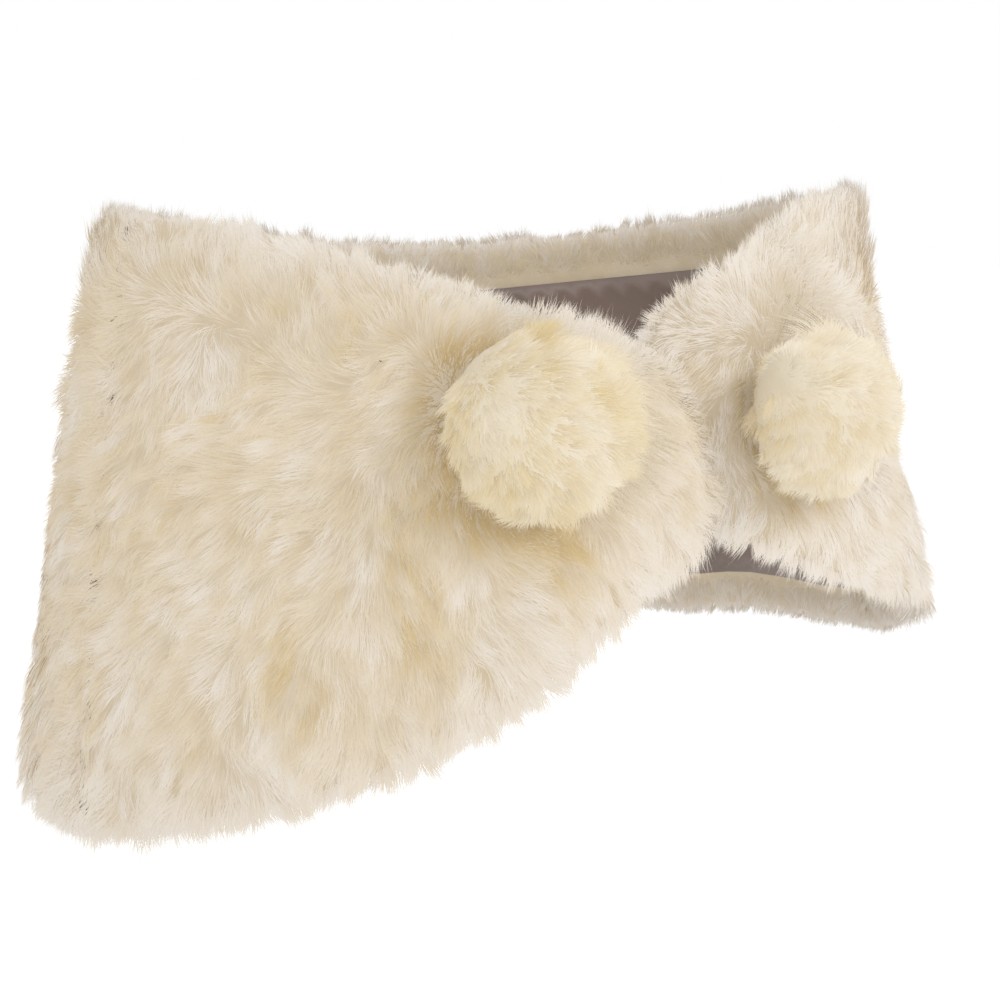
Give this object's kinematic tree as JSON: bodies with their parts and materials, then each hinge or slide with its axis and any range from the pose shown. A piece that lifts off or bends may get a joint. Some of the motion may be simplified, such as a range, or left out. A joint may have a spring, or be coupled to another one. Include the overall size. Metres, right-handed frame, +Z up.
{
  "type": "fur collar wrap",
  "caption": "Long-haired ivory fur shoulder wrap, worn off the shoulders, with lapped fronts, a round fur pompom on each front and a satin lining.",
  "frame": {"origin": "midway between the wearer's shoulders, at shoulder height", "axes": "+X to the wearer's left, -Y to the front, +Z up"},
  "size_m": [0.516, 0.3553, 0.301],
  "materials": {
    "fur": "long soft ivory fur, cream at the roots and nearly white at the tips",
    "pompom_fur": "the same fur, drawn round a soft ball",
    "lining_satin": "plain beige satin with a soft sheen"
  },
  "bodies": {
    "root": {"right_front": "fur", "left_front": "fur", "back_panel": "fur", "lining_right": "lining_satin", "lining_left": "lining_satin", "lining_back": "lining_satin", "right_pompom": "pompom_fur", "left_pompom": "pompom_fur"}
  },
  "joints": []
}
